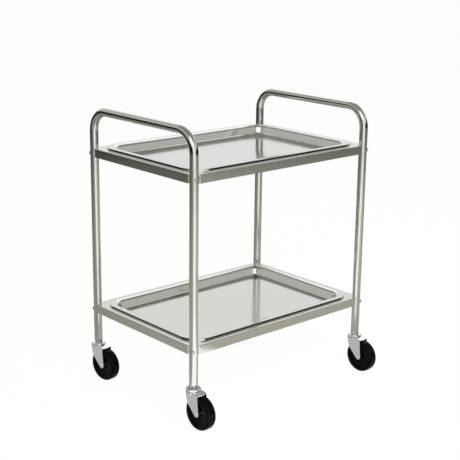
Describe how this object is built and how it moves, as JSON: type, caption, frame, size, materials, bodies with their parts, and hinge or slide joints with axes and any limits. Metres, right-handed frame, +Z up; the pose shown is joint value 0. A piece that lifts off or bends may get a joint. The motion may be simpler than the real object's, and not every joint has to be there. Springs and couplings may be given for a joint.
{
  "type": "stainless steel trolley",
  "caption": "Tiered stainless steel service trolley: bent tube frames form legs and push handles, carry pressed trays and roll on swivel casters with black wheels.",
  "frame": {"origin": "on the floor, under the middle of the whole object with its casters trailing to the front", "axes": "+Z up, +X along the trays' long side towards the right-hand frame, +Y to the back"},
  "size_m": [0.7152, 0.5689, 0.857],
  "materials": {
    "stainless_tube": "bright polished",
    "stainless_sheet": "bright rolled, finely brushed",
    "fastener_steel": "plain bright",
    "zinc_plate": "bright zinc plated, slightly blue",
    "ball_steel": "ground and polished",
    "black_plastic": "moulded, semi-gloss",
    "black_rubber": "moulded, satin"
  },
  "bodies": {
    "trolley_frame": {"left_leg_frame": "stainless_tube", "right_leg_frame": "stainless_tube", "upper_shelf": "stainless_sheet", "upper_shelf_braces": "stainless_sheet", "upper_shelf_bolts": "fastener_steel", "upper_shelf_washers": "fastener_steel", "upper_shelf_nuts": "fastener_steel", "lower_shelf": "stainless_sheet", "lower_shelf_braces": "stainless_sheet", "lower_shelf_bolts": "fastener_steel", "lower_shelf_washers": "fastener_steel", "lower_shelf_nuts": "fastener_steel", "front_left_stem_plug": "fastener_steel", "front_left_stem": "fastener_steel", "front_left_race_dish": "zinc_plate", "front_left_thrust_washer": "zinc_plate", "front_right_stem_plug": "fastener_steel", "front_right_stem": "fastener_steel", "front_right_race_dish": "zinc_plate", "front_right_thrust_washer": "zinc_plate", "back_left_stem_plug": "fastener_steel", "back_left_stem": "fastener_steel", "back_left_race_dish": "zinc_plate", "back_left_thrust_washer": "zinc_plate", "back_right_stem_plug": "fastener_steel", "back_right_stem": "fastener_steel", "back_right_race_dish": "zinc_plate", "back_right_thrust_washer": "zinc_plate"},
    "front_left_ball_ring": {"front_left_balls": "ball_steel"},
    "front_left_caster_fork": {"front_left_fork": "zinc_plate", "front_left_axle": "zinc_plate", "front_left_axle_sleeve": "zinc_plate"},
    "front_left_wheel": {"front_left_wheel_core": "black_plastic", "front_left_tyre": "black_rubber"},
    "front_right_ball_ring": {"front_right_balls": "ball_steel"},
    "front_right_caster_fork": {"front_right_fork": "zinc_plate", "front_right_axle": "zinc_plate", "front_right_axle_sleeve": "zinc_plate"},
    "front_right_wheel": {"front_right_wheel_core": "black_plastic", "front_right_tyre": "black_rubber"},
    "back_left_ball_ring": {"back_left_balls": "ball_steel"},
    "back_left_caster_fork": {"back_left_fork": "zinc_plate", "back_left_axle": "zinc_plate", "back_left_axle_sleeve": "zinc_plate"},
    "back_left_wheel": {"back_left_wheel_core": "black_plastic", "back_left_tyre": "black_rubber"},
    "back_right_ball_ring": {"back_right_balls": "ball_steel"},
    "back_right_caster_fork": {"back_right_fork": "zinc_plate", "back_right_axle": "zinc_plate", "back_right_axle_sleeve": "zinc_plate"},
    "back_right_wheel": {"back_right_wheel_core": "black_plastic", "back_right_tyre": "black_rubber"}
  },
  "joints": [
    {"name": "front_left_swivel", "type": "hinge", "parent": "trolley_frame", "child": "front_left_caster_fork", "pos_m": [-0.335, -0.2025, 0.109], "axis": [0, 0, 1], "continuous": true},
    {"name": "front_left_wheel_spin", "type": "hinge", "parent": "front_left_caster_fork", "child": "front_left_wheel", "pos_m": [-0.33399, -0.23448, 0.05], "axis": [0.9995, 0.0314, 0], "continuous": true},
    {"name": "front_left_ball_roll", "type": "hinge", "parent": "trolley_frame", "child": "front_left_ball_ring", "pos_m": [-0.335, -0.2025, 0.109], "axis": [0, 0, 1], "continuous": true},
    {"name": "front_right_swivel", "type": "hinge", "parent": "trolley_frame", "child": "front_right_caster_fork", "pos_m": [0.335, -0.2025, 0.109], "axis": [0, 0, 1], "continuous": true},
    {"name": "front_right_wheel_spin", "type": "hinge", "parent": "front_right_caster_fork", "child": "front_right_wheel", "pos_m": [0.33656, -0.23446, 0.05], "axis": [0.9988, 0.0488, 0], "continuous": true},
    {"name": "front_right_ball_roll", "type": "hinge", "parent": "trolley_frame", "child": "front_right_ball_ring", "pos_m": [0.335, -0.2025, 0.109], "axis": [0, 0, 1], "continuous": true},
    {"name": "back_left_swivel", "type": "hinge", "parent": "trolley_frame", "child": "back_left_caster_fork", "pos_m": [-0.335, 0.2615, 0.109], "axis": [0, 0, 1], "continuous": true},
    {"name": "back_left_wheel_spin", "type": "hinge", "parent": "back_left_caster_fork", "child": "back_left_wheel", "pos_m": [-0.33132, 0.22971, 0.05], "axis": [0.9934, 0.1149, 0], "continuous": true},
    {"name": "back_left_ball_roll", "type": "hinge", "parent": "trolley_frame", "child": "back_left_ball_ring", "pos_m": [-0.335, 0.2615, 0.109], "axis": [0, 0, 1], "continuous": true},
    {"name": "back_right_swivel", "type": "hinge", "parent": "trolley_frame", "child": "back_right_caster_fork", "pos_m": [0.335, 0.2615, 0.109], "axis": [0, 0, 1], "continuous": true},
    {"name": "back_right_wheel_spin", "type": "hinge", "parent": "back_right_caster_fork", "child": "back_right_wheel", "pos_m": [0.33668, 0.22954, 0.05], "axis": [0.9986, 0.0523, 0], "continuous": true},
    {"name": "back_right_ball_roll", "type": "hinge", "parent": "trolley_frame", "child": "back_right_ball_ring", "pos_m": [0.335, 0.2615, 0.109], "axis": [0, 0, 1], "continuous": true}
  ],
  "couplings": [
    {"joint": "front_left_ball_roll", "follows": "front_left_swivel", "ratio": 0.5},
    {"joint": "front_right_ball_roll", "follows": "front_right_swivel", "ratio": 0.5},
    {"joint": "back_left_ball_roll", "follows": "back_left_swivel", "ratio": 0.5},
    {"joint": "back_right_ball_roll", "follows": "back_right_swivel", "ratio": 0.5}
  ]
}
